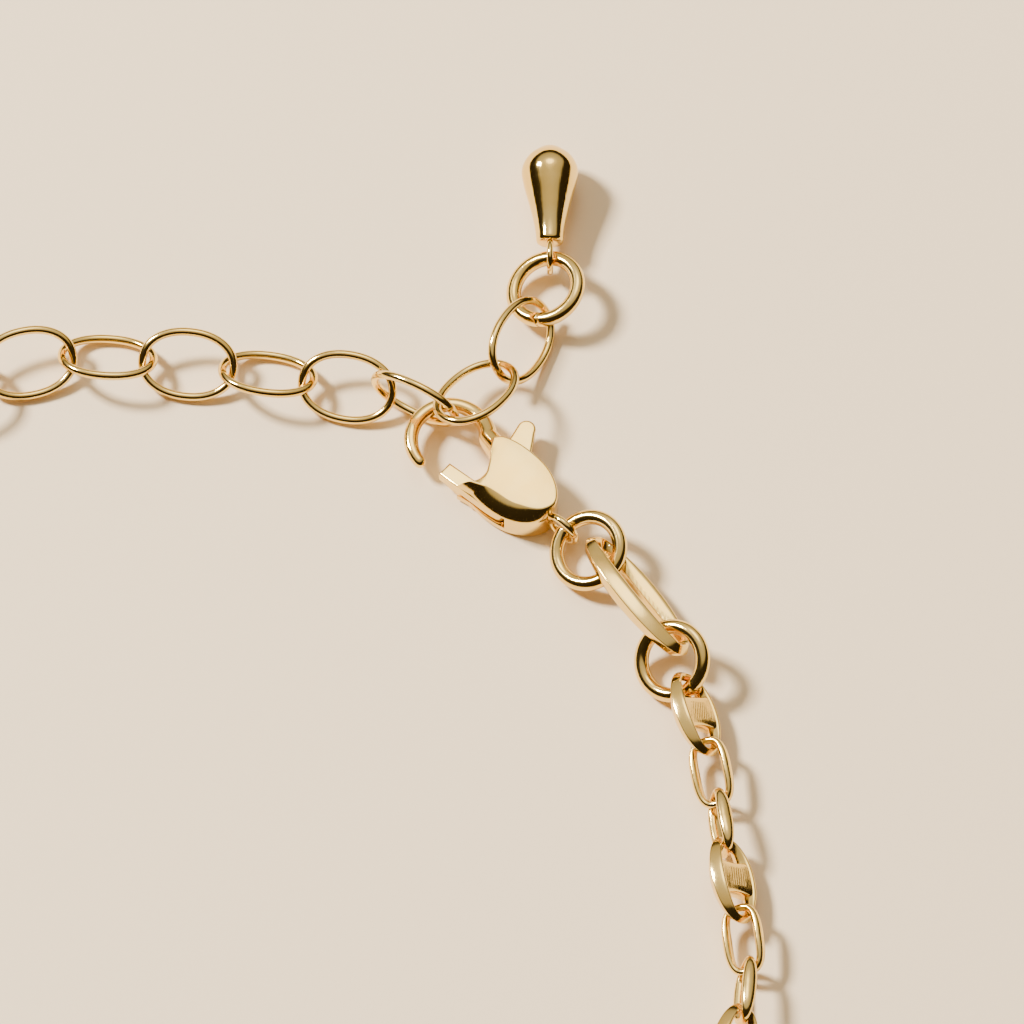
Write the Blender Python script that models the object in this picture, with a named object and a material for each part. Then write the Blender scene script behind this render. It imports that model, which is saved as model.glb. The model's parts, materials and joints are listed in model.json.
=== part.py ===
"""Gold link bracelet, fastened and lying flat: mariner chain, lobster clasp, oval extender and end drop."""

import math

import bmesh
import bpy
from mathutils import Matrix, Vector

MM = 0.001

# Sizes, in millimetres
LINK_GAP = 0.14
CLASP_GAP = 0.12

BIG_LENGTH = 5.1
BIG_WIDTH = 3.0
BIG_THICKNESS = 1.05
BIG_END_THICKNESS = 0.56
BIG_END_WIRE = 0.56
BIG_HOLE_WIDTH = 1.28
BIG_BAR_LENGTH = 1.8
BIG_BAR_THICKNESS = 0.86
RAIL_FLAT = 0.16
BAR_SHARE = 0.4
BIG_OUTLINE_POWER = 2.1
RAIL_HOLE_POWER = 4.5

SMALL_LENGTH = 3.95
SMALL_WIDTH = 2.3
SMALL_HOLE_WIDTH = 1.28
SMALL_THICKNESS = 0.74
SMALL_END_THICKNESS = 0.42
SMALL_WIRE = 0.43
SMALL_OUTLINE_POWER = 2.8
SMALL_HOLE_POWER = 4.0

OVAL_LENGTH = 5.32
OVAL_WIDTH = 3.9
OVAL_WIRE = 0.46
OVAL_OUTLINE_POWER = 2.15

RING_OUTER = 4.4
RING_WIRE = 0.8

CONNECTOR_LENGTH = 8.4
CONNECTOR_WIDTH = 3.6
CONNECTOR_THICKNESS = 1.2
CONNECTOR_END_THICKNESS = 0.8
CONNECTOR_END_WIRE = 0.7
CONNECTOR_SLOT_WIDTH = 1.3
CONNECTOR_OUTLINE_POWER = 2.15

DROP_LENGTH = 5.6
DROP_RADIUS = 1.5
DROP_NECK_RADIUS = 0.72
DROP_EYE_RADIUS = 0.96
DROP_EYE_WIRE = 0.34

CLASP_THICKNESS = 2.3
PLATE_THICKNESS = 0.62
BODY_START = 1.95
BODY_END = 7.1
BODY_HALF_WIDTH = 1.95
FRONT_DEPTH = 1.03
HOOK_RADIUS = 2.03
HOOK_WIDTH = 0.68
HOOK_ROOT_HEIGHT = 1.5
HOOK_TIP_HEIGHT = 0.76
HOOK_ROOT_ANGLE = 30.0
HOOK_TIP_ANGLE = 270.0
EYE_RADIUS = 1.06
EYE_WIRE = 0.42
EYE_SUNK = 0.06
PIN_RADIUS = 0.35
PIN_ALONG = 4.4
PIN_ACROSS = -0.35
BOSS_WALL = 0.5
LEVER_REACH = 1.0
LEVER_ARM_WIDTH = 0.85
LEVER_CROOK = 1.35
ARM_ACROSS = -1.565
LIP_START = 1.15
LIP_WIDTH = 0.45
TAB_RADIUS = 0.5
TAB_ALONG = 2.75
TAB_ACROSS = 3.0
LEVER_OPEN_ANGLE = 22.0
# The lever's outer side below the shell's edge, as shares of the shell's length and half width
LEVER_SIDE = ((0.635, 0.55), (0.60, 0.86), (0.48, 0.95), (0.25, 0.97))

BIG_COUNT = 12
OVALS_BEFORE_HOOK = 8

RING_SIDES = 16
OVAL_SIDES = 16
BIG_SIDES = 20
SMALL_SIDES = 16

# Chosen points of the chain's route from the first large link round to the hooked extender link, in mm
ROUTE = (
    (24.8, 11.0), (26.0, 6.9), (26.9, 1.5), (27.7, -3.0), (27.8, -8.0), (25.6, -17.0), (18.0, -26.0),
    (4.0, -31.0), (-11.0, -29.8), (-23.0, -20.0), (-28.3, -7.0), (-28.0, 7.5), (-24.0, 15.6),
    (-21.4, 20.7), (-18.85, 24.4), (-15.6, 27.2), (-11.8, 29.15), (-8.0, 30.05), (-3.7, 29.8),
    (0.57, 29.3), (4.85, 28.65), (9.15, 27.75),
)
ROUTE_FIRST_HIDDEN = 5
ROUTE_LAST_HIDDEN = 12

# Where the clasp, the connector and the free end lie, in mm, with the clasp's heading in degrees
CLASP_AT = (12.46, 25.14)
CLASP_HEADING = -41.0
RING_1_HEADING = -47.0
CONNECTOR_AT = (22.3, 15.75)
CONNECTOR_HEADING = -54.0
RING_2_HEADING = -60.0
# How far the rings and the connector sit above their neighbours, in mm, and the slope of each ring and the drop
RING_1_LIFT = 0.2
RING_2_LIFT = 0.18
CONNECTOR_LIFT = 0.36
RING_1_SLOPE = 0.14
RING_2_SLOPE = -0.08
DROP_SLOPE = 0.03

# Height of the chain's axis at its contacts, in mm, and roll of each kind of link in degrees. The clasp's
# underside lies lower than every link by at least a hair, CHAIN_LIFT below the chain's zero
CHAIN_LIFT = 0.06
BIG_AXIS_Z = 1.3
SMALL_AXIS_Z = 1.0
OVAL_AXIS_Z = 1.12
FAR_RING_Z = 1.88
BIG_ROLL = -42.0
SMALL_ROLLS = (21.0, 76.0)
OVAL_ROLLS = (30.0, -30.0)
RING_1_ROLL = 24.0
RING_2_ROLL = 34.0
CONNECTOR_ROLL = -50.0
FAR_RING_ROLLS = (30.0, 48.0)
FAR_CONNECTOR_ROLL = -45.0

# The hooked extender link, the two free ones and the drop's ring: kind, slack in mm from the one before,
# heading in degrees, rise along its length and roll in degrees
FREE_END = (
    ("oval", (-0.35, 0.37, 0.59), -29.0, 0.14, 89.6),
    ("oval", (0.02, -0.39, 0.58), 49.8, -0.22, -23.7),
    ("oval", (0.0, 0.0, 0.0), 60.0, -0.18, 46.0),
    ("ring", (0.0, 0.0, 0.12), 80.0, 0.03, -20.0),
)

GOLD = (0.91, 0.66, 0.27, 1.0)


def make_material(name, colour=GOLD, roughness=0.18):
    material = bpy.data.materials.new(name)
    material.use_nodes = True
    shader = material.node_tree.nodes["Principled BSDF"]
    shader.inputs["Base Color"].default_value = colour
    shader.inputs["Metallic"].default_value = 1.0
    shader.inputs["Roughness"].default_value = roughness
    return material


def finish_mesh(bm, name):
    bmesh.ops.recalc_face_normals(bm, faces=bm.faces)
    bmesh.ops.scale(bm, vec=(MM, MM, MM), verts=bm.verts)
    mesh = bpy.data.meshes.new(name)
    bm.to_mesh(mesh)
    bm.free()
    mesh.shade_smooth()
    mesh.set_sharp_from_angle(angle=math.radians(38))
    return mesh


def place(name, mesh, material, matrix):
    obj = bpy.data.objects.new(name, mesh)
    bpy.context.collection.objects.link(obj)
    if not mesh.materials:
        mesh.materials.append(material)
    else:
        mesh.materials[0] = material
    obj.matrix_world = matrix
    return obj


def oval_point(turn, half_length, half_width, power):
    """A point of a superellipse, where a higher power gives a squarer oval."""
    c, s = math.cos(turn), math.sin(turn)
    exponent = 2.0 / power
    return Vector((
        half_length * math.copysign(abs(c) ** exponent, c),
        half_width * math.copysign(abs(s) ** exponent, s),
        0.0,
    ))


def even_turns(count, half_length, half_width, power):
    """Turns that space the points of an oval evenly along its outline."""
    fine = 720
    points = [oval_point(2 * math.pi * k / fine, half_length, half_width, power) for k in range(fine + 1)]
    walked = [0.0]
    for first, second in zip(points, points[1:]):
        walked.append(walked[-1] + (second - first).length)
    turns, k = [], 0
    for n in range(count):
        target = walked[-1] * n / count
        while walked[k + 1] < target:
            k += 1
        share = (target - walked[k]) / max(walked[k + 1] - walked[k], 1e-9)
        turns.append(2 * math.pi * (k + share) / fine)
    return turns


def link_bmesh(outer, inner, thickness, end_thickness, sides, flat=0.5):
    """A closed link between two ovals, each (half length, half width, power), thinner at its two ends."""
    bm = bmesh.new()
    middle = [(a + b) / 2 for a, b in zip(outer, inner)]
    sections = []
    for turn in even_turns(sides, *middle):
        out, hole = oval_point(turn, *outer), oval_point(turn, *inner)
        reach = abs(((out + hole) / 2).x) / middle[0]
        half = (end_thickness + (thickness - end_thickness) * (1 - reach ** 2.2)) / 2
        low, high = (1 - flat) / 2, (1 + flat) / 2
        section = [
            hole, hole.lerp(out, low) + Vector((0, 0, half)), hole.lerp(out, high) + Vector((0, 0, half)),
            out, hole.lerp(out, high) - Vector((0, 0, half)), hole.lerp(out, low) - Vector((0, 0, half)),
        ]
        sections.append([bm.verts.new(point) for point in section])
    for first, second in zip(sections, sections[1:] + sections[:1]):
        for k in range(6):
            bm.faces.new((first[k], first[(k + 1) % 6], second[(k + 1) % 6], second[k]))
    return bm


def prism_bmesh(outline, z_low, z_high, edge=0.0):
    """A plate with the given outline, whose upper and lower edges are bevelled by edge."""
    bm = bmesh.new()
    face = bm.faces.new([bm.verts.new((x, y, z_low)) for x, y in outline])
    side = bmesh.ops.extrude_face_region(bm, geom=[face])
    top = [item for item in side["geom"] if isinstance(item, bmesh.types.BMVert)]
    bmesh.ops.translate(bm, vec=(0, 0, z_high - z_low), verts=top)
    bmesh.ops.recalc_face_normals(bm, faces=bm.faces)
    if edge > 0:
        rims = [e for e in bm.edges if abs(e.verts[0].co.z - e.verts[1].co.z) < 1e-6]
        bmesh.ops.bevel(bm, geom=rims, offset=edge, segments=1, profile=0.5, affect="EDGES", clamp_overlap=True)
    return bm


def modified(base, parts):
    """The base mesh after each (operation, mesh) pair is applied to it."""
    holder = bpy.data.objects.new("work", base)
    bpy.context.collection.objects.link(holder)
    tools = []
    for operation, mesh in parts:
        tool = bpy.data.objects.new("tool", mesh)
        bpy.context.collection.objects.link(tool)
        tool.hide_render = True
        tool.display_type = "WIRE"
        change = holder.modifiers.new("change", "BOOLEAN")
        change.operation = operation
        change.object = tool
        change.solver = "EXACT"
        tools.append(tool)
    bpy.context.view_layer.update()
    result = bpy.data.meshes.new_from_object(holder.evaluated_get(bpy.context.evaluated_depsgraph_get()))
    for item in [holder] + tools:
        bpy.data.objects.remove(item, do_unlink=True)
    result.shade_smooth()
    result.set_sharp_from_angle(angle=math.radians(38))
    return result


# Repeated links
def big_link_mesh():
    half_hole = BIG_LENGTH / 2 - BIG_END_WIRE
    ring = link_bmesh(
        (BIG_LENGTH / 2, BIG_WIDTH / 2, BIG_OUTLINE_POWER), (half_hole, BIG_HOLE_WIDTH / 2, RAIL_HOLE_POWER),
        BIG_THICKNESS, BIG_END_THICKNESS, BIG_SIDES, RAIL_FLAT,
    )
    reach = BIG_HOLE_WIDTH / 2 + BAR_SHARE * (BIG_WIDTH - BIG_HOLE_WIDTH) / 2
    bar = bmesh.new()
    bmesh.ops.create_cube(bar, size=1.0)
    bmesh.ops.scale(bar, vec=(BIG_BAR_LENGTH, 2 * reach, BIG_BAR_THICKNESS), verts=bar.verts)
    return modified(finish_mesh(ring, "big_ring"), [("UNION", finish_mesh(bar, "bar"))])


def small_link_mesh():
    outer = (SMALL_LENGTH / 2, SMALL_WIDTH / 2, SMALL_OUTLINE_POWER)
    inner = (SMALL_LENGTH / 2 - SMALL_WIRE, SMALL_HOLE_WIDTH / 2, SMALL_HOLE_POWER)
    return finish_mesh(
        link_bmesh(outer, inner, SMALL_THICKNESS, SMALL_END_THICKNESS, SMALL_SIDES), "small_link")


def oval_link_mesh():
    outer = (OVAL_LENGTH / 2, OVAL_WIDTH / 2, OVAL_OUTLINE_POWER)
    inner = (OVAL_LENGTH / 2 - OVAL_WIRE, OVAL_WIDTH / 2 - OVAL_WIRE, OVAL_OUTLINE_POWER)
    return finish_mesh(link_bmesh(outer, inner, OVAL_WIRE, OVAL_WIRE, OVAL_SIDES), "oval_link")


def ring_mesh():
    outer, inner = RING_OUTER / 2, RING_OUTER / 2 - RING_WIRE
    return finish_mesh(
        link_bmesh((outer, outer, 2), (inner, inner, 2), RING_WIRE, RING_WIRE, RING_SIDES), "jump_ring")


def connector_mesh():
    outer = (CONNECTOR_LENGTH / 2, CONNECTOR_WIDTH / 2, CONNECTOR_OUTLINE_POWER)
    inner = (CONNECTOR_LENGTH / 2 - CONNECTOR_END_WIRE, CONNECTOR_SLOT_WIDTH / 2, RAIL_HOLE_POWER)
    return finish_mesh(link_bmesh(
        outer, inner, CONNECTOR_THICKNESS, CONNECTOR_END_THICKNESS, BIG_SIDES, RAIL_FLAT), "connector")


# Placing links along the route
def link_matrix(centre, direction, roll):
    """A link's place: its length along direction, rolled about it from lying flat."""
    along = Vector(direction).normalized()
    side = Vector((-along.y, along.x, 0)).normalized()
    up = along.cross(side)
    turn = math.radians(roll)
    across = side * math.cos(turn) + up * math.sin(turn)
    normal = along.cross(across)
    matrix = Matrix((along, across, normal)).transposed().to_4x4()
    matrix.translation = Vector(centre) * MM
    return matrix


def heading(degrees):
    return Vector((math.cos(math.radians(degrees)), math.sin(math.radians(degrees)), 0))


def smooth_route(spread):
    """Points of a smooth curve through ROUTE, its hidden points moved out from the middle by spread."""
    points = []
    for n, (x, y) in enumerate(ROUTE):
        factor = 1.0
        if ROUTE_FIRST_HIDDEN <= n <= ROUTE_LAST_HIDDEN:
            share = (n - ROUTE_FIRST_HIDDEN + 1) / (ROUTE_LAST_HIDDEN - ROUTE_FIRST_HIDDEN + 2)
            factor = 1 + (spread - 1) * math.sin(math.pi * share) ** 0.7
        points.append(Vector((x * factor, y * factor)))
    points = [points[0] * 2 - points[1]] + points + [points[-1] * 2 - points[-2]]
    curve = []
    for a, b, c, d in zip(points, points[1:], points[2:], points[3:]):
        for step in range(40):
            t = step / 40
            curve.append(0.5 * ((2 * b) + (c - a) * t + (2 * a - 5 * b + 4 * c - d) * t ** 2
                                + (3 * b - a - 3 * c + d) * t ** 3))
    curve.append(points[-2])
    return curve


def walk(curve, chords):
    """Contact points that step along the curve by the given chords, and the length left at its end."""
    at, k, contacts = curve[0].copy(), 0, [curve[0].copy()]
    for chord in chords:
        while k + 1 < len(curve) and (curve[k + 1] - at).length < chord:
            k += 1
        if k + 1 >= len(curve):
            ahead = (curve[-1] - curve[-2]).normalized()
            at = at + ahead * chord
        else:
            low, high = 0.0, 1.0
            for _ in range(30):
                middle = (low + high) / 2
                if (curve[k].lerp(curve[k + 1], middle) - at).length < chord:
                    low = middle
                else:
                    high = middle
            at = curve[k].lerp(curve[k + 1], high)
        contacts.append(at.copy())
    ahead = (curve[-1] - curve[-2]).normalized()
    return contacts, (curve[-1] - at).dot(ahead)


def contact_length(length, end_wire):
    return length - 2 * end_wire - LINK_GAP


def chain_plan():
    """Each link from the first large one to the last oval before the hook: kind, contact length, roll."""
    big = ("big", contact_length(BIG_LENGTH, BIG_END_WIRE), BIG_ROLL)
    smalls = [("small", contact_length(SMALL_LENGTH, SMALL_WIRE), roll) for roll in SMALL_ROLLS]
    rings = [("ring", contact_length(RING_OUTER, RING_WIRE), roll) for roll in FAR_RING_ROLLS]
    far = ("far", contact_length(CONNECTOR_LENGTH, CONNECTOR_END_WIRE), FAR_CONNECTOR_ROLL)
    plan = [big]
    for _ in range(BIG_COUNT - 1):
        plan += smalls + [big]
    plan += [rings[0], far, rings[1]]
    for n in range(OVALS_BEFORE_HOOK):
        roll = OVAL_ROLLS[(OVALS_BEFORE_HOOK - 1 - n) % 2]
        plan.append(("oval", contact_length(OVAL_LENGTH, OVAL_WIRE), roll))
    return plan


def contact_heights(plan):
    heights = [BIG_AXIS_Z]
    for (kind, _, _), (following, _, _) in zip(plan, plan[1:]):
        pair = {kind, following}
        if "oval" in pair:
            heights.append(OVAL_AXIS_Z if pair == {"oval"} else FAR_RING_Z)
        elif "far" in pair:
            heights.append(BIG_AXIS_Z + 0.2)
        elif pair == {"small"}:
            heights.append(SMALL_AXIS_Z)
        else:
            heights.append(BIG_AXIS_Z)
    return heights + [OVAL_AXIS_Z]


def place_chain(meshes, materials):
    plan, counts = chain_plan(), {}
    heights = contact_heights(plan)
    chords = [math.sqrt(length ** 2 - (high - low) ** 2)
              for (_, length, _), low, high in zip(plan, heights, heights[1:])]
    low, high = 0.8, 1.3
    for _ in range(40):
        spread = (low + high) / 2
        contacts, left = walk(smooth_route(spread), chords)
        if left > 0:
            high = spread
        else:
            low = spread
    names = {"big": "mariner_link", "small": "small_link", "ring": "far_jump_ring",
             "far": "far_connector", "oval": "extender_link"}
    for (kind, _, roll), first, second, z1, z2 in zip(plan, contacts, contacts[1:], heights, heights[1:]):
        counts[kind] = counts.get(kind, 0) + 1
        start, end = first.to_3d(), second.to_3d()
        start.z, end.z = z1, z2
        name = names[kind] if kind == "far" else "%s_%02d" % (names[kind], counts[kind])
        place(name, meshes[kind], materials[kind], link_matrix((start + end) / 2, end - start, roll))
    return contacts, heights


# Clasp, in its own frame: the hook's middle at the origin, the eye towards +X
def clasp_outline(front):
    """The pear-shaped shell's outline, from its front edge round to the eye."""
    length = BODY_END - BODY_START
    shape = (
        (0.00, 0.66), (0.07, 0.84), (0.22, 0.96), (0.40, 1.00), (0.58, 0.97), (0.72, 0.87),
        (0.84, 0.70), (0.93, 0.48), (0.985, 0.24),
    )
    upper = [(BODY_START + share * length, width * BODY_HALF_WIDTH) for share, width in shape]
    lower = [(x, -y) for x, y in reversed(upper) if x > front[0][0] + 0.15]
    return upper + [(BODY_END, 0.0)] + lower + front


def arc(radius, first, last, count, middle=(0.0, 0.0)):
    return [(middle[0] + radius * math.cos(math.radians(first + (last - first) * k / count)),
             middle[1] + radius * math.sin(math.radians(first + (last - first) * k / count)))
            for k in range(count + 1)]


def hook_bmesh():
    bm = bmesh.new()
    sections, steps = [], 18
    for k in range(steps + 1):
        share = k / steps
        angle = math.radians(HOOK_ROOT_ANGLE + (HOOK_TIP_ANGLE - HOOK_ROOT_ANGLE) * share)
        out = Vector((math.cos(angle), math.sin(angle), 0))
        height = HOOK_ROOT_HEIGHT + (HOOK_TIP_HEIGHT - HOOK_ROOT_HEIGHT) * min(1.0, share / 0.36)
        slim = 1.0 if share < 0.85 else 1.0 - 0.45 * (share - 0.85) / 0.15
        wide = HOOK_WIDTH / 2 * slim
        tall = height / 2 * (1.0 if share < 0.9 else 1.0 - 0.4 * (share - 0.9) / 0.1)
        centre = out * HOOK_RADIUS + Vector((0, 0, CLASP_THICKNESS / 2))
        ring = []
        for a, b in ((-1, -0.5), (-0.5, -1), (0.5, -1), (1, -0.5), (1, 0.5), (0.5, 1), (-0.5, 1), (-1, 0.5)):
            ring.append(bm.verts.new(centre + out * (a * wide) + Vector((0, 0, b * tall))))
        sections.append(ring)
    for first, second in zip(sections, sections[1:]):
        for k in range(8):
            bm.faces.new((first[k], first[(k + 1) % 8], second[(k + 1) % 8], second[k]))
    bm.faces.new(sections[0])
    bm.faces.new(sections[-1][::-1])
    return bm


def cylinder_bmesh(radius, z_low, z_high, sides, x, y):
    bm = bmesh.new()
    bmesh.ops.create_cone(bm, cap_ends=True, segments=sides, radius1=radius, radius2=radius,
                          depth=z_high - z_low)
    bmesh.ops.translate(bm, vec=(x, y, (z_low + z_high) / 2), verts=bm.verts)
    return bm


def lever_outline():
    """The lever seen from above: front arm, thumb tab and the boss round its pin."""
    low, high = ARM_ACROSS - LEVER_ARM_WIDTH / 2, ARM_ACROSS + LEVER_ARM_WIDTH / 2
    points = [(LEVER_REACH, low), (LEVER_REACH, high), (PIN_ALONG - LEVER_CROOK, high + 0.12)]
    points += arc(TAB_RADIUS, 195, 15, 6, (TAB_ALONG, TAB_ACROSS))
    points += arc(PIN_RADIUS + BOSS_WALL, 25, -20, 3, (PIN_ALONG, PIN_ACROSS))
    return points + [(BODY_START + share * (BODY_END - BODY_START), -wide * BODY_HALF_WIDTH)
                     for share, wide in LEVER_SIDE]


def opened(x, y):
    """Where a point of the lever lies once the lever is fully open."""
    turn = -math.radians(LEVER_OPEN_ANGLE)
    dx, dy = x - PIN_ALONG, y - PIN_ACROSS
    return (PIN_ALONG + dx * math.cos(turn) - dy * math.sin(turn),
            PIN_ACROSS + dx * math.sin(turn) + dy * math.cos(turn))


def lever_sweep(gap):
    """The slot that holds the lever from shut to open, clear of it by gap and open to three sides."""
    high = ARM_ACROSS + LEVER_ARM_WIDTH / 2
    below = ARM_ACROSS - LEVER_ARM_WIDTH / 2 - 1.0
    front = opened(LEVER_REACH, high)
    crook = opened(PIN_ALONG - LEVER_CROOK, high + 0.12)
    tab = opened(TAB_ALONG + TAB_RADIUS, TAB_ACROSS)
    back = PIN_ALONG + PIN_RADIUS + BOSS_WALL + gap
    return [
        (front[0] - gap, below), (front[0] - gap, front[1] + gap), (crook[0] - 2 * gap, crook[1] + gap),
        (TAB_ALONG - TAB_RADIUS - gap, TAB_ACROSS), (TAB_ALONG - TAB_RADIUS - gap, TAB_ACROSS + 1.0),
        (tab[0] + 2 * gap, TAB_ACROSS + 1.0), (back, PIN_ACROSS + PIN_RADIUS + BOSS_WALL),
        (back, below),
    ]


def clasp_meshes():
    top, gap = CLASP_THICKNESS, CLASP_GAP
    edge = 0.16
    front = arc(BODY_START + FRONT_DEPTH, -41, -8, 4, (0.0, -0.05))
    front += [(BODY_START + 0.65 * FRONT_DEPTH, 0.22), (BODY_START + 0.24 * FRONT_DEPTH, 0.75)]
    outline = clasp_outline(front)
    body = finish_mesh(prism_bmesh(outline, 0.0, top, edge), "body")
    hook = finish_mesh(hook_bmesh(), "hook")
    root = [(HOOK_RADIUS - 0.68, 0.95), (BODY_START + 0.15, 0.72), (BODY_START + 0.35, 1.0),
            (BODY_START + 0.3, 1.6), (HOOK_RADIUS - 0.33, 1.85), (HOOK_RADIUS - 0.98, 2.05)]
    lug = finish_mesh(prism_bmesh(
        root, (top - HOOK_ROOT_HEIGHT) / 2, (top + HOOK_ROOT_HEIGHT) / 2, 0.12), "lug")
    eye = link_bmesh((EYE_RADIUS, EYE_RADIUS, 2), (EYE_RADIUS - EYE_WIRE, EYE_RADIUS - EYE_WIRE, 2),
                     EYE_WIRE, EYE_WIRE, 14)
    bmesh.ops.rotate(eye, cent=(0, 0, 0), matrix=Matrix.Rotation(math.pi / 2, 3, "X"), verts=eye.verts)
    bmesh.ops.translate(eye, vec=(BODY_END + EYE_RADIUS - EYE_WIRE / 2 - EYE_SUNK, 0, top / 2), verts=eye.verts)
    slot_low, slot_high = PLATE_THICKNESS, top - PLATE_THICKNESS
    slot = finish_mesh(prism_bmesh(lever_sweep(gap), slot_low, slot_high), "slot")
    low, inner = ARM_ACROSS - LEVER_ARM_WIDTH / 2 + 0.1, BODY_START + 1.3
    lip = [(LIP_START, low + 0.17), (inner, low), (inner, low + LIP_WIDTH), (LIP_START, low + LIP_WIDTH)]
    lip = finish_mesh(prism_bmesh(lip, 0.0, PLATE_THICKNESS - 0.12, 0.06), "lip")
    bore = finish_mesh(cylinder_bmesh(PIN_RADIUS + gap, 0.3, top - 0.3, 12, PIN_ALONG, PIN_ACROSS), "bore")
    body = modified(body, [("DIFFERENCE", slot), ("DIFFERENCE", bore), ("UNION", hook), ("UNION", lug),
                           ("UNION", lip), ("UNION", finish_mesh(eye, "eye"))])
    lever = finish_mesh(prism_bmesh(lever_outline(), slot_low + gap, slot_high - gap, 0.06), "lever")
    hole = finish_mesh(cylinder_bmesh(PIN_RADIUS + gap, 0, top, 12, PIN_ALONG, PIN_ACROSS), "hole")
    lever = modified(lever, [("DIFFERENCE", hole)])
    pin = finish_mesh(cylinder_bmesh(PIN_RADIUS, 0.3 + gap, top - 0.3 - gap, 12, PIN_ALONG, PIN_ACROSS), "pin")
    return body, lever, pin


# End drop, its length along +X from the round end to its eye
def drop_mesh():
    shape = ((0.0, 0.0), (0.05, 0.50), (0.13, 0.82), (0.25, 1.00), (0.40, 0.93), (0.60, 0.74), (0.82, 0.55))
    rim = DROP_NECK_RADIUS / DROP_RADIUS
    bm, rings, sides = bmesh.new(), [], 14
    tip = bm.verts.new((0, 0, 0))
    for share, wide in shape[1:] + ((1.0, rim),):
        rings.append([bm.verts.new((share * DROP_LENGTH,
                                    wide * DROP_RADIUS * math.cos(2 * math.pi * k / sides),
                                    wide * DROP_RADIUS * math.sin(2 * math.pi * k / sides)))
                      for k in range(sides)])
    for k in range(sides):
        bm.faces.new((tip, rings[0][k], rings[0][(k + 1) % sides]))
    for first, second in zip(rings, rings[1:]):
        for k in range(sides):
            bm.faces.new((first[k], second[k], second[(k + 1) % sides], first[(k + 1) % sides]))
    bm.faces.new(rings[-1])
    inner = DROP_EYE_RADIUS - DROP_EYE_WIRE
    eye = link_bmesh((DROP_EYE_RADIUS, DROP_EYE_RADIUS, 2), (inner, inner, 2),
                     DROP_EYE_WIRE, DROP_EYE_WIRE, 14)
    bmesh.ops.rotate(eye, cent=(0, 0, 0), matrix=Matrix.Rotation(math.pi / 2, 3, "X"), verts=eye.verts)
    bmesh.ops.translate(eye, vec=(DROP_LENGTH + DROP_EYE_RADIUS - DROP_EYE_WIRE / 2, 0, 0), verts=eye.verts)
    return modified(finish_mesh(bm, "drop"), [("UNION", finish_mesh(eye, "drop_eye"))])


def centre_on_floor(objects):
    """Move everything so that the middle of its box's underside is the origin."""
    bpy.context.view_layer.update()
    corners = [obj.matrix_world @ vertex.co for obj in objects if obj.type == "MESH"
               for vertex in obj.data.vertices]
    low = Vector([min(corner[k] for corner in corners) for k in range(3)])
    high = Vector([max(corner[k] for corner in corners) for k in range(3)])
    shift = Vector((-(low.x + high.x) / 2, -(low.y + high.y) / 2, -low.z))
    for obj in objects:
        if obj.parent is None:
            obj.matrix_world.translation += shift


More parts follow.
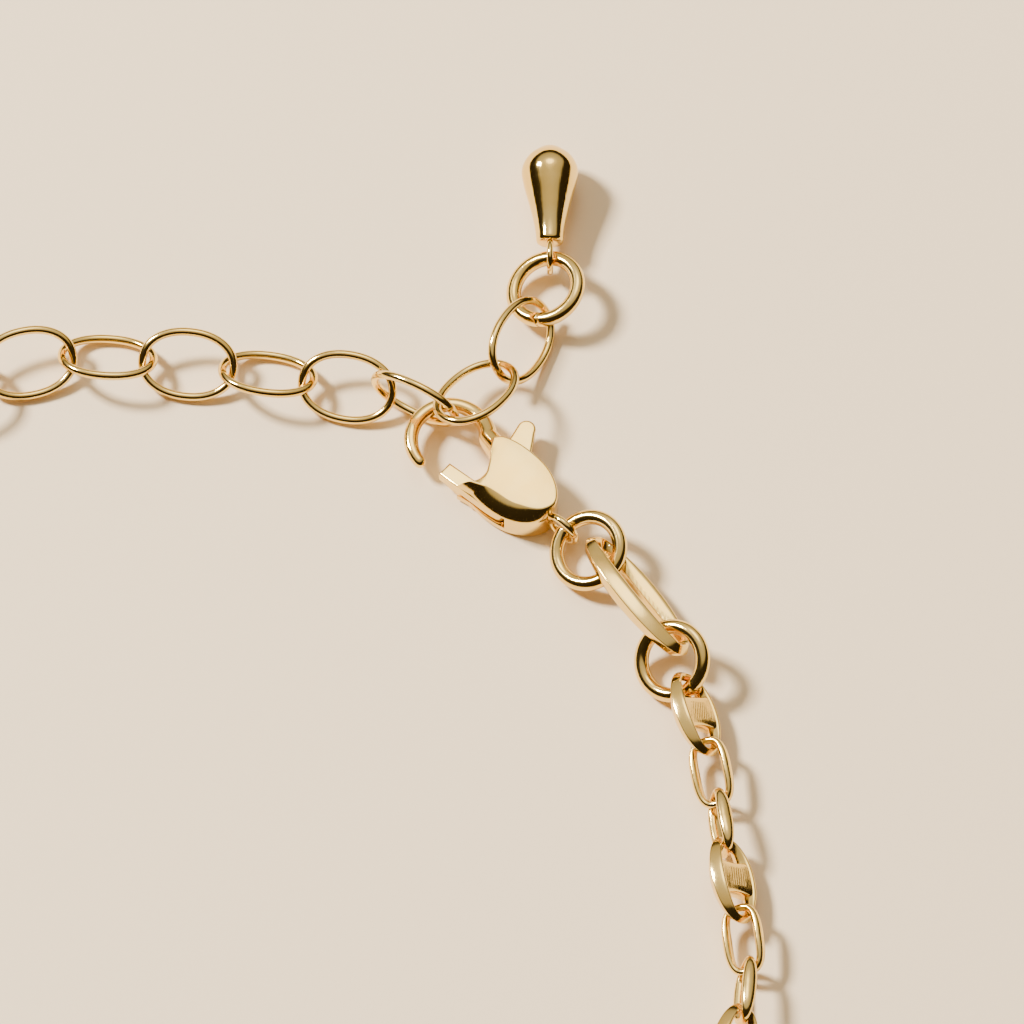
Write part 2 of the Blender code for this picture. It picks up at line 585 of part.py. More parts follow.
def build():
    for obj in list(bpy.data.objects):
        bpy.data.objects.remove(obj, do_unlink=True)
    gold = {name: make_material("gold_" + name) for name in
            ("mariner", "small", "oval", "ring", "connector", "clasp", "lever", "pin", "drop")}
    meshes = {"big": big_link_mesh(), "small": small_link_mesh(), "oval": oval_link_mesh(),
              "ring": ring_mesh(), "far": connector_mesh()}
    materials = {"big": gold["mariner"], "small": gold["small"], "oval": gold["oval"],
                 "ring": gold["ring"], "far": gold["connector"]}
    contacts, heights = place_chain(meshes, materials)

    body, lever, pin = clasp_meshes()
    clasp = link_matrix((*CLASP_AT, -CHAIN_LIFT), heading(CLASP_HEADING), 0)
    place("clasp_body", body, gold["clasp"], clasp)
    place("clasp_pin", pin, gold["pin"], clasp)
    pivot = bpy.data.objects.new("lever_axis", None)
    bpy.context.collection.objects.link(pivot)
    pivot.matrix_world = clasp @ Matrix.Translation(Vector((PIN_ALONG, PIN_ACROSS, 0)) * MM)
    lever_obj = place("clasp_lever", lever, gold["lever"], Matrix())
    lever_obj.parent = pivot
    lever_obj.matrix_parent_inverse = Matrix()
    lever_obj.matrix_basis = Matrix.Translation(Vector((-PIN_ALONG, -PIN_ACROSS, 0)) * MM)

    ring_reach = RING_OUTER / 2 - RING_WIRE - LINK_GAP / 2
    eye_reach = BODY_END + 2 * EYE_RADIUS - 1.5 * EYE_WIRE - EYE_SUNK
    eye_at = Vector((*CLASP_AT, 0)) + heading(CLASP_HEADING) * eye_reach
    eye_at.z = CLASP_THICKNESS / 2 - CHAIN_LIFT
    ring_1 = eye_at + heading(RING_1_HEADING) * (ring_reach - LINK_GAP / 2) + Vector((0, 0, RING_1_LIFT))
    place("jump_ring_1", meshes["ring"], gold["ring"],
          link_matrix(ring_1, heading(RING_1_HEADING) + Vector((0, 0, RING_1_SLOPE)), RING_1_ROLL))
    connector_z = CONNECTOR_WIDTH / 2 * math.sin(math.radians(abs(CONNECTOR_ROLL))) + CONNECTOR_LIFT
    place("connector", meshes["far"], gold["connector"],
          link_matrix((*CONNECTOR_AT, connector_z), heading(CONNECTOR_HEADING), CONNECTOR_ROLL))
    start = contacts[0].to_3d()
    start.z = heights[0]
    ring_2 = start - heading(RING_2_HEADING) * ring_reach + Vector((0, 0, RING_2_LIFT))
    place("jump_ring_2", meshes["ring"], gold["ring"],
          link_matrix(ring_2, heading(RING_2_HEADING) + Vector((0, 0, RING_2_SLOPE)), RING_2_ROLL))

    # Hooked link, two free links, ring and drop
    oval = contact_length(OVAL_LENGTH, OVAL_WIRE)
    at = contacts[-1].to_3d()
    at.z = heights[-1]
    for n, (kind, slack, turn, rise, roll) in enumerate(FREE_END):
        step = (heading(turn) + Vector((0, 0, rise))).normalized()
        at = at + Vector(slack)
        length = oval if kind == "oval" else 2 * ring_reach
        name = "extender_link_%02d" % (OVALS_BEFORE_HOOK + 1 + n) if kind == "oval" else "drop_ring"
        place(name, meshes[kind], materials[kind], link_matrix(at + step * length / 2, step, roll))
        at = at + step * length
    tail = (heading(90.0) + Vector((0, 0, DROP_SLOPE))).normalized()
    far_tip = at + tail * (DROP_LENGTH + 2 * DROP_EYE_RADIUS - 1.5 * DROP_EYE_WIRE - LINK_GAP / 2)
    place("teardrop", drop_mesh(), gold["drop"], link_matrix(far_tip, -tail, 0))

    centre_on_floor(list(bpy.data.objects))


build()
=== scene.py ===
import json
import math

import bmesh
import bpy
import numpy as np
from mathutils import Matrix, Vector


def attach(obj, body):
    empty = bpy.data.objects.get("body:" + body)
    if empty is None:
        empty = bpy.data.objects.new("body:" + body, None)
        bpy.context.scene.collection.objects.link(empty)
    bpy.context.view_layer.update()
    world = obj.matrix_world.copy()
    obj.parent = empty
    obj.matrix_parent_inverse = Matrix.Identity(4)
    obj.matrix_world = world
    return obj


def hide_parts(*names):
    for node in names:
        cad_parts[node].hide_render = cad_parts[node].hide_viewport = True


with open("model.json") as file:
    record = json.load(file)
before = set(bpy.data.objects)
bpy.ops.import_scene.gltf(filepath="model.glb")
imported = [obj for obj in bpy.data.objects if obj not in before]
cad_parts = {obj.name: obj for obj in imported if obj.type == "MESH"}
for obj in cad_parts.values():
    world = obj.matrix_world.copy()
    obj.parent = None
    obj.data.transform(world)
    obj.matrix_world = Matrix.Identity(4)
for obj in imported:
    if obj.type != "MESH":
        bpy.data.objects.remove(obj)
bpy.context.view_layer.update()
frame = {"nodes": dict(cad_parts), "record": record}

mm = 0.001
nodes = frame["nodes"]
print("frame loaded:", len(nodes), "nodes")


# Node wiring: a socket that understands + - * / and comparison, and makes any other node
class Wire:
    def __init__(self, tree, socket=None):
        self.tree = tree
        self.socket = socket

    def make(self, kind, settings=None, inputs=None, output=0):
        node = self.tree.nodes.new(kind)
        for key, value in (settings or {}).items():
            if key == "stops":
                ramp = node.color_ramp.elements
                while len(ramp) < len(value):
                    ramp.new(0.5)
                for element, (place, colour) in zip(ramp, value):
                    element.position = place
                    element.color = colour
            else:
                setattr(node, key, value)
        for key, value in (inputs or {}).items():
            if isinstance(value, Wire):
                self.tree.links.new(value.socket, node.inputs[key])
            else:
                node.inputs[key].default_value = value
        return Wire(self.tree, node.outputs[output])

    def out(self, name):
        return Wire(self.tree, self.socket.node.outputs[name])

    def math(self, operation, *values):
        return self.make("ShaderNodeMath", {"operation": operation}, dict(enumerate(values)))

    def __add__(self, other): return self.math("ADD", self, other)
    def __radd__(self, other): return self.math("ADD", other, self)
    def __sub__(self, other): return self.math("SUBTRACT", self, other)
    def __rsub__(self, other): return self.math("SUBTRACT", other, self)
    def __mul__(self, other): return self.math("MULTIPLY", self, other)
    def __rmul__(self, other): return self.math("MULTIPLY", other, self)
    def __truediv__(self, other): return self.math("DIVIDE", self, other)
    def __rtruediv__(self, other): return self.math("DIVIDE", other, self)
    def __pow__(self, other): return self.math("POWER", self, other)
    def __lt__(self, other): return self.math("LESS_THAN", self, other)
    def __gt__(self, other): return self.math("GREATER_THAN", self, other)


# Gold
goldTones = {
    "pale": (0.94, 0.69, 0.24, 1.0),
    "deep": (0.90, 0.62, 0.175, 1.0),
    "toneSize": 2.5,          # mm
    "roughLow": 0.07,
    "roughHigh": 0.17,
    "grainSize": 0.16,        # mm
    "scratchSize": 0.05,      # mm across a scratch
    "scratchDepth": 0.0025,   # mm
    "rippleSize": 0.9,        # mm
    "rippleDepth": 0.008,     # mm
}


def goldFinish(name, hatch=None, **changes):
    look = dict(goldTones, **changes)
    material = bpy.data.materials.new(name)
    material.use_nodes = True
    tree = material.node_tree
    shader = tree.nodes["Principled BSDF"]
    start = Wire(tree)
    place = start.make("ShaderNodeTexCoord").out("Object")

    def noise(size, detail, where=place):
        return start.make("ShaderNodeTexNoise", {}, {
            "Vector": where, "Scale": 1 / (size * mm), "Detail": detail, "Roughness": 0.55})

    tone = noise(look["toneSize"], 3.0)
    grain = noise(look["grainSize"], 4.0)
    ripple = noise(look["rippleSize"], 1.0)
    drawn = start.make("ShaderNodeMapping", {}, {
        "Vector": place, "Rotation": (0.3, 0.2, 0.7), "Scale": (1.0, 0.06, 0.3)})
    scratch = noise(look["scratchSize"], 2.0, drawn)
    share = start.make("ShaderNodeMapRange", {"interpolation_type": "SMOOTHSTEP"}, {
        "Value": tone, "From Min": 0.35, "From Max": 0.65})
    colour = start.make("ShaderNodeMix", {"data_type": "RGBA"}, {   # 6, 7 and 2 are its colour sockets
        "Factor": share, 6: look["pale"], 7: look["deep"]}, 2)
    rough = look["roughLow"] + (look["roughHigh"] - look["roughLow"]) * grain
    height = ripple * look["rippleDepth"] + scratch * look["scratchDepth"]
    if hatch:
        along = start.make("ShaderNodeAttribute", {"attribute_name": "linkPlace"}).out("Vector")
        split = start.make("ShaderNodeSeparateXYZ", {}, {0: along})
        reach = start.math("ABSOLUTE", split.out("X")) < hatch["halfLength"] * mm
        near = start.math("ABSOLUTE", split.out("Y")) < hatch["halfWidth"] * mm
        slanted = split.out("Y") + hatch["slant"] * split.out("X")
        lines = start.math("SINE", slanted * (2 * math.pi / (hatch["pitch"] * mm)))
        height = height + reach * near * lines * hatch["depth"]
        rough = rough + reach * near * hatch["extraRough"]
    bump = start.make("ShaderNodeBump", {}, {"Height": height, "Strength": 1.0, "Distance": mm})
    tree.links.new(colour.socket, shader.inputs["Base Color"])
    tree.links.new(rough.socket, shader.inputs["Roughness"])
    tree.links.new(bump.socket, shader.inputs["Normal"])
    shader.inputs["Metallic"].default_value = 1.0
    return material


# Fine cut lines on a link's middle, in mm
barHatch = {"halfLength": 0.5, "halfWidth": 0.5, "pitch": 0.13, "slant": 0.35, "depth": 0.0016, "extraRough": 0.10}
railHatch = barHatch | {"halfLength": 3.3, "halfWidth": 0.78, "depth": 0.0022}
gold = {
    "mariner": goldFinish("goldMariner", barHatch),
    "small": goldFinish("goldSmall", roughLow=0.09, roughHigh=0.2, rippleDepth=0.012),
    "oval": goldFinish("goldOval", rippleDepth=0.006, rippleSize=1.6),
    "ring": goldFinish("goldRing", rippleDepth=0.006, rippleSize=1.4),
    "connector": goldFinish("goldConnector", railHatch),
    "clasp": goldFinish("goldClasp", rippleDepth=0.01, rippleSize=2.4),
    "lever": goldFinish("goldLever", rippleDepth=0.008, rippleSize=1.8),
    "pin": goldFinish("goldPin"),
    "drop": goldFinish("goldDrop", roughLow=0.05, roughHigh=0.12, rippleDepth=0.008, rippleSize=2.8),
}
print("gold finishes made:", len(gold))


# Where each CAD link lies, read from its own corners
def corners(node):
    obj = nodes[node]
    points = np.array([obj.matrix_world @ v.co for v in obj.data.vertices])
    return np.unique(np.round(points, 7), axis=0)


def linkPlace(node, seamTowards=None):
    points = corners(node)
    middle = (points.min(axis=0) + points.max(axis=0)) / 2
    middle = points.mean(axis=0) if seamTowards is None else middle
    spread, axes = np.linalg.eigh(np.cov((points - middle).T))
    along, normal = Vector(axes[:, 2]), Vector(axes[:, 0])
    if normal.z < 0:
        normal = -normal
    if seamTowards is not None:
        along = Vector(seamTowards) - normal * Vector(seamTowards).dot(normal)
    along.normalize()
    across = normal.cross(along)
    return Vector(middle), Matrix((along, across, normal)).transposed()


# One tree makes every kind of link: an oval swept by its wire's section, set on each chosen point
lengthInputs = ("Half Length", "Half Width", "Hole Half Length", "Hole Half Width", "Side Thickness",
                "End Thickness", "Bar Half Length", "Bar Flare", "Bar Thickness")
shapeInputs = ("Outline Power", "Hole Power", "Section Power", "Crown", "Seam Depth", "Seam Width")
linkInputs = {
    "NodeSocketFloat": lengthInputs + shapeInputs,
    "NodeSocketInt": ("Steps Around", "Steps Across"),
    "NodeSocketMaterial": ("Finish",),
}
linkForm = {"endSwell": 2.2, "barCorner": 0.34, "barInRail": 0.5, "barSteps": 25, "weld": 0.0008}   # weld in mm


def buildLinkTree():
    tree = bpy.data.node_groups.new("linkShape", "GeometryNodeTree")
    face = tree.interface
    face.new_socket("Places", in_out="INPUT", socket_type="NodeSocketGeometry")
    for kind, labels in linkInputs.items():
        for label in labels:
            face.new_socket(label, in_out="INPUT", socket_type=kind)
    face.new_socket("Links", in_out="OUTPUT", socket_type="NodeSocketGeometry")
    start = Wire(tree)
    given = start.make("NodeGroupInput")
    ask = given.out

    def grid(countX, countY):
        mesh = start.make("GeometryNodeMeshGrid", {}, {
            "Size X": 1.0, "Size Y": 1.0, "Vertices X": countX, "Vertices Y": countY})
        where = start.make("ShaderNodeSeparateXYZ", {}, {0: start.make("GeometryNodeInputPosition")})
        turn = (where.out("X") + 0.5) * (2 * math.pi)
        section = (where.out("Y") + 0.5) * (2 * math.pi)
        return mesh, turn, section, where

    def signedPower(value, power):
        return start.math("SIGN", value) * (start.math("ABSOLUTE", value) ** power)

    def polar(cosTurn, sinTurn, halfLength, halfWidth, power):
        first = start.math("ABSOLUTE", cosTurn / halfLength) ** power
        second = start.math("ABSOLUTE", sinTurn / halfWidth) ** power
        return (first + second) ** (-1.0 / power)

    # The wire
    wire, turn, section, _ = grid(ask("Steps Around"), ask("Steps Across"))
    cosTurn, sinTurn = start.math("COSINE", turn), start.math("SINE", turn)
    outer = polar(cosTurn, sinTurn, ask("Half Length"), ask("Half Width"), ask("Outline Power"))
    hole = polar(cosTurn, sinTurn, ask("Hole Half Length"), ask("Hole Half Width"), ask("Hole Power"))
    middle = (outer + hole) * 0.5
    reach = start.math("ABSOLUTE", middle * cosTurn) / ((ask("Half Length") + ask("Hole Half Length")) * 0.5)
    swell = 1.0 - reach ** linkForm["endSwell"]
    thick = ask("End Thickness") + (ask("Side Thickness") - ask("End Thickness")) * swell
    fromSeam = start.math("ABSOLUTE", turn - math.pi) / ask("Seam Width")
    slim = 1.0 - ask("Seam Depth") * start.math("EXPONENT", 0.0 - fromSeam * fromSeam)
    power = 2.0 / ask("Section Power")
    wide = signedPower(start.math("COSINE", section), power) * slim
    tall = signedPower(start.math("SINE", section), power) * ask("Crown")
    tall = start.math("MAXIMUM", start.math("MINIMUM", tall, 1.0), -1.0) * slim
    radius = middle + (outer - hole) * 0.5 * wide
    spot = start.make("ShaderNodeCombineXYZ", {}, {
        0: radius * cosTurn, 1: radius * sinTurn, 2: thick * 0.5 * tall})
    wire = start.make("GeometryNodeSetPosition", {}, {"Geometry": wire, "Position": spot})

    # The bar across a mariner link, whose waist leaves two round holes
    bar, _, section, where = grid(linkForm["barSteps"], linkForm["barSteps"])
    across = where.out("X") * 2.0
    flare = ask("Bar Half Length") + ask("Bar Flare") * (across * across)
    corner = linkForm["barCorner"]
    barX = signedPower(start.math("COSINE", section), corner) * flare
    barZ = signedPower(start.math("SINE", section), corner) * ask("Bar Thickness") * 0.5
    railWidth = ask("Half Width") - ask("Hole Half Width")
    barY = across * (ask("Hole Half Width") + railWidth * linkForm["barInRail"])
    spot = start.make("ShaderNodeCombineXYZ", {}, {0: barX, 1: barY, 2: barZ})
    bar = start.make("GeometryNodeSetPosition", {}, {"Geometry": bar, "Position": spot})
    wanted = ask("Bar Thickness") > 0.0
    bar = start.make("GeometryNodeSwitch", {"input_type": "GEOMETRY"}, {"Switch": wanted, "True": bar})

    joined = start.make("GeometryNodeJoinGeometry")
    for part in (wire, bar):
        tree.links.new(part.socket, joined.socket.node.inputs[0])
    closed = start.make("GeometryNodeMergeByDistance", {}, {"Geometry": joined, "Distance": linkForm["weld"] * mm})
    vectors = {"data_type": "FLOAT_VECTOR"}
    marked = start.make("GeometryNodeStoreNamedAttribute", vectors | {"domain": "POINT"}, {
        "Geometry": closed, "Name": "linkPlace", "Value": start.make("GeometryNodeInputPosition")})
    turned = start.make("GeometryNodeInputNamedAttribute", vectors, {"Name": "linkTurn"})
    spread = start.make("GeometryNodeInstanceOnPoints", {}, {
        "Points": ask("Places"), "Instance": marked, "Rotation": turned})
    real = start.make("GeometryNodeRealizeInstances", {}, {"Geometry": spread})
    smooth = start.make("GeometryNodeSetShadeSmooth", {}, {"Geometry": real})
    done = start.make("GeometryNodeSetMaterial", {}, {"Geometry": smooth, "Material": ask("Finish")})
    final = tree.nodes.new("NodeGroupOutput")
    tree.links.new(done.socket, final.inputs[0])
    return tree


linkTree = buildLinkTree()


def finishPiece(obj, body, slotName, *replaced):
    if replaced:
        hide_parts(*replaced)
    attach(obj, body)
    print("piece", obj.name, "triangles", sum(len(p.vertices) - 2 for p in obj.data.polygons))


def linkPiece(name, slotName, finish, sizes, names, seams=None):
    places = bpy.data.meshes.new(name + "Places")
    found = [linkPlace(node, seams[k] if seams else None) for k, node in enumerate(names)]
    places.from_pydata([tuple(middle) for middle, _ in found], [], [])
    turns = places.attributes.new("linkTurn", "FLOAT_VECTOR", "POINT")
    for k, (_, turn) in enumerate(found):
        turns.data[k].vector = turn.to_euler()
    obj = bpy.data.objects.new(name, places)
    bpy.context.collection.objects.link(obj)
    change = obj.modifiers.new("links", "NODES")
    change.node_group = linkTree
    sockets = linkTree.interface.items_tree
    socketOf = {item.name: item.identifier for item in sockets if item.in_out == "INPUT"}
    for label, value in sizes.items():
        change[socketOf[label]] = value * mm if label in lengthInputs else value
    change[socketOf["Finish"]] = finish
    bpy.context.view_layer.update()
    result = bpy.data.meshes.new_from_object(obj.evaluated_get(bpy.context.evaluated_depsgraph_get()))
    result.name = name
    obj.modifiers.clear()
    obj.data = result
    finishPiece(obj, "bracelet", slotName, *names)


def numbered(stem, count):
    return ["%s_%02d" % (stem, n + 1) for n in range(count)]


marinerSizes = {
    "Half Length": 2.53, "Half Width": 1.48, "Outline Power": 2.1,
    "Hole Half Length": 1.99, "Hole Half Width": 0.64, "Hole Power": 2.8,
    "Side Thickness": 1.05, "End Thickness": 0.56, "Section Power": 1.12, "Crown": 1.1,
    "Seam Depth": 0.0, "Seam Width": 1.0,
    "Bar Half Length": 0.86, "Bar Flare": 0.22, "Bar Thickness": 0.88,
    "Steps Around": 161, "Steps Across": 33,
}
smallSizes = marinerSizes | {
    "Half Length": 1.955, "Half Width": 1.12, "Outline Power": 2.8,
    "Hole Half Length": 1.545, "Hole Half Width": 0.64, "Hole Power": 4.0,
    "Side Thickness": 0.79, "End Thickness": 0.42, "Section Power": 2.0, "Crown": 1.0,
    "Bar Thickness": 0.0, "Steps Around": 129, "Steps Across": 25,
}
ovalSizes = smallSizes | {
    "Half Length": 2.645, "Half Width": 1.935, "Outline Power": 2.15,
    "Hole Half Length": 2.2, "Hole Half Width": 1.49, "Hole Power": 2.15,
    "Side Thickness": 0.46, "End Thickness": 0.46, "Section Power": 2.0, "Steps Around": 193,
}
ringSizes = ovalSizes | {
    "Half Length": 2.19, "Half Width": 2.19, "Outline Power": 2.0,
    "Hole Half Length": 1.4, "Hole Half Width": 1.4, "Hole Power": 2.0,
    "Side Thickness": 0.79, "End Thickness": 0.79, "Seam Depth": 0.16, "Seam Width": 0.022,
    "Steps Around": 361, "Steps Across": 29,
}
connectorSizes = marinerSizes | {
    "Half Length": 4.19, "Half Width": 1.79, "Outline Power": 2.15,
    "Hole Half Length": 3.5, "Hole Half Width": 0.65, "Hole Power": 4.5,
    "Side Thickness": 1.2, "End Thickness": 0.8, "Bar Thickness": 0.0, "Steps Around": 241,
}

linkPiece("marinerLinks", "gold_mariner", gold["mariner"], marinerSizes, numbered("mariner_link", 12))
linkPiece("smallLinks", "gold_small", gold["small"], smallSizes, numbered("small_link", 22))
linkPiece("extenderLinks", "gold_oval", gold["oval"], ovalSizes, numbered("extender_link", 11))
linkPiece("connectorLinks", "gold_connector", gold["connector"], connectorSizes, ["connector", "far_connector"])
ringSeams = {   # the way from each ring's middle to its seam, turned about
    "drop_ring": (0.2, 1.0, 0.0), "jump_ring_1": (0.7, -0.7, 0.0), "jump_ring_2": (0.5, -0.85, 0.0),
    "far_jump_ring_01": (1.0, 0.0, 0.0), "far_jump_ring_02": (1.0, 0.3, 0.0),
}
linkPiece("jumpRings", "gold_ring", gold["ring"], ringSizes, list(ringSeams), list(ringSeams.values()))
print("links made")


# Meshes drawn as rings of points
def loftMesh(name, rings, loop=False):
    bm = bmesh.new()
    rows = [[bm.verts.new(p) for p in ring] for ring in rings]
    pairs = list(zip(rows, rows[1:] + rows[:1])) if loop else list(zip(rows, rows[1:]))
    for first, second in pairs:
        for k in range(len(first)):
            n = (k + 1) % len(first)
            bm.faces.new((first[k], first[n], second[n], second[k]))
    if not loop:
        bm.faces.new(rows[0][::-1])
        bm.faces.new(rows[-1])
    bmesh.ops.recalc_face_normals(bm, faces=bm.faces)
    mesh = bpy.data.meshes.new(name)
    bm.to_mesh(mesh)
    bm.free()
    return mesh


def ringMesh(name, radius, wire, middle, steps=96, sides=20):
    rings = []
    for k in range(steps):
        turn = 2 * math.pi * k / steps
        out = Vector((math.cos(turn), 0, math.sin(turn)))
        around = [2 * math.pi * n / sides for n in range(sides)]
        rings.append([middle + out * (radius + wire / 2 * math.cos(a)) + Vector((0, wire / 2 * math.sin(a), 0))
                      for a in around])
    return loftMesh(name, rings, True)


def plateMesh(name, outline, low, high, edge=0.0, steps=3):
    bm = bmesh.new()
    face = bm.faces.new([bm.verts.new((x, y, low)) for x, y in outline])
    side = bmesh.ops.extrude_face_region(bm, geom=[face])
    top = [item for item in side["geom"] if isinstance(item, bmesh.types.BMVert)]
    bmesh.ops.translate(bm, vec=(0, 0, high - low), verts=top)
    bmesh.ops.recalc_face_normals(bm, faces=bm.faces)
    if edge > 0:
        rims = [e for e in bm.edges if abs(e.verts[0].co.z - e.verts[1].co.z) < 1e-6]
        bmesh.ops.bevel(bm, geom=rims, offset=edge, segments=steps, profile=0.6, affect="EDGES",
                        clamp_overlap=True)
    mesh = bpy.data.meshes.new(name)
    bm.to_mesh(mesh)
    bm.free()
    return mesh


def combined(base, parts):
    holder = bpy.data.objects.new("work", base)
    bpy.context.collection.objects.link(holder)
    tools = []
    for operation, mesh in parts:
        tool = bpy.data.objects.new("tool", mesh)
        bpy.context.collection.objects.link(tool)
        change = holder.modifiers.new("change", "BOOLEAN")
        change.operation = operation
        change.solver = "EXACT"
        change.object = tool
        tools.append(tool)
    bpy.context.view_layer.update()
    result = bpy.data.meshes.new_from_object(holder.evaluated_get(bpy.context.evaluated_depsgraph_get()))
    for item in [holder] + tools:
        bpy.data.objects.remove(item, do_unlink=True)
    return result


sharpAngle = 40   # degrees between faces that meet in a crisp edge


def settle(name, mesh, place, finish, body, slotName, replaced):
    mesh.transform(place @ Matrix.Scale(mm, 4))
    mesh.name = name
    mesh.materials.clear()
    mesh.materials.append(finish)
    mesh.shade_smooth()
    mesh.set_sharp_from_angle(angle=math.radians(sharpAngle))
    obj = bpy.data.objects.new(name, mesh)
    bpy.context.collection.objects.link(obj)
    finishPiece(obj, body, slotName, replaced)


def smoothRun(points, steps):
    run = []
    ends = [points[0]] + list(points) + [points[-1]]
    for a, b, c, d in zip(ends, ends[1:], ends[2:], ends[3:]):
        for k in range(steps):
            t = k / steps
            run.append(tuple(0.5 * (2 * q + (r - p) * t + (2 * p - 5 * q + 4 * r - s) * t * t
                                    + (3 * q - p - 3 * r + s) * t ** 3) for p, q, r, s in zip(a, b, c, d)))
    return run + [tuple(points[-1])]


def arc(radius, first, last, count, middle=(0.0, 0.0)):
    return [(middle[0] + radius * math.cos(math.radians(first + (last - first) * k / count)),
             middle[1] + radius * math.sin(math.radians(first + (last - first) * k / count)))
            for k in range(count + 1)]


# Clasp, in its own frame in mm: the hook's middle at the origin, the eye towards +X
clasp = {
    "heading": -41.0, "thickness": 2.3, "plate": 0.62, "gap": 0.12,
    "start": 1.95, "end": 7.1, "halfWidth": 1.95,
    "widths": ((0.00, 0.66), (0.07, 0.84), (0.22, 0.96), (0.40, 1.00), (0.58, 0.97), (0.72, 0.87),
               (0.84, 0.70), (0.93, 0.48), (0.985, 0.24)),   # shares of the length and the half width
    "frontRadius": 2.98, "frontMiddle": (0.0, -0.05), "frontTop": ((2.62, 0.22), (2.2, 0.75)),
    "shoulder": 0.92, "shoulderDrop": 0.66, "shoulderPower": 1.4, "slimShoulder": 0.14,
    "shoulderSide": (0.25, -0.97), "underRound": 0.26, "roundMiddle": (4.4, 0.0),
    "hookRadius": 2.03, "hookFrom": 44.0, "hookTo": 270.0, "hookWide": 0.76, "hookTall": 0.76, "hookCorner": 0.84,
    "hookRoot": ((3.3, 1.0), (2.7, 1.12), (2.1, 1.25)), "rootTall": 2.24, "rootSwell": 0.3,
    "rootShare": 0.42, "swellShare": 0.45, "swellFade": 1.5,   # shares of the hook's length
    "slimFrom": 0.85, "flatFrom": 0.9, "tipFrom": 0.965, "tipSlim": 0.2, "tipEnd": 0.02,
    "lipStart": 1.15, "lipRoot": 1.3, "lipWide": 0.45, "lipSlant": 0.17, "lipInset": 0.1, "lipThin": 0.12,
    "eyeRadius": 0.85, "eyeWire": 0.42, "eyeAt": 7.89,
    "pin": (4.4, -0.35), "pinRadius": 0.35, "pinCover": 0.3, "boss": 0.85,
    "armAcross": -1.565, "armWide": 0.85, "armReach": 1.0, "crook": 1.35, "crookRise": 0.12,
    "armSide": ((0.635, 0.55), (0.60, 0.86), (0.48, 0.95), (0.25, 0.97)), "leverEdge": 0.13,
    "tab": (2.75, 3.0), "tabRadius": 0.5, "openAngle": 22.0, "cutPast": 1.0,
}
claspTurn = Matrix.Rotation(math.radians(clasp["heading"]), 4, "Z")
hinge = Vector(frame["record"]["behaviour"]["joints"][0]["pos_m"])
claspAt = Vector((hinge.x, hinge.y, 0)) - claspTurn @ (Vector((*clasp["pin"], 0)) * mm)
claspPlace = Matrix.Translation(claspAt) @ claspTurn


def shellMesh():
    c = clasp
    length = c["end"] - c["start"]
    upper = [(c["start"] + share * length, wide * c["halfWidth"]) for share, wide in c["widths"]]
    front = arc(c["frontRadius"], -41, -8, 12, c["frontMiddle"]) + smoothRun(c["frontTop"], 4)
    lower = [(x, -y) for x, y in reversed(upper) if x > front[0][0] + 0.15]
    outline = smoothRun(upper + [(c["end"], 0.0)] + lower, 6) + front
    middle = Vector((*c["roundMiddle"], 0))
    levels = []
    for k in range(6):
        turn = math.pi / 2 * k / 5
        inset = c["underRound"] * (1 - math.sin(turn))
        levels.append((inset, inset, c["underRound"] * (1 - math.cos(turn))))
    for k in range(13):
        turn = math.pi / 2 * k / 12
        inward = 1 - max(0.0, math.cos(turn)) ** c["shoulderPower"]
        upward = 1 - math.sin(turn) ** c["shoulderPower"]
        levels.append((c["shoulder"] * inward, c["slimShoulder"] * (1 - math.cos(turn)) ** 3,
                       c["thickness"] - c["shoulderDrop"] * upward))
    rings = []
    for broad, narrow, height in levels:
        ring = []
        for x, y in outline:
            away = Vector((x, y, 0)) - middle
            facing = away.normalized().dot(Vector((*c["shoulderSide"], 0)))
            facing = min(1.0, max(0.0, (facing + 0.05) / 0.85))
            inset = narrow + (broad - narrow) * facing * facing * (3 - 2 * facing)
            ring.append(middle + away * (1 - inset / away.length) + Vector((0, 0, height)))
        rings.append(ring)
    return loftMesh("shell", rings)


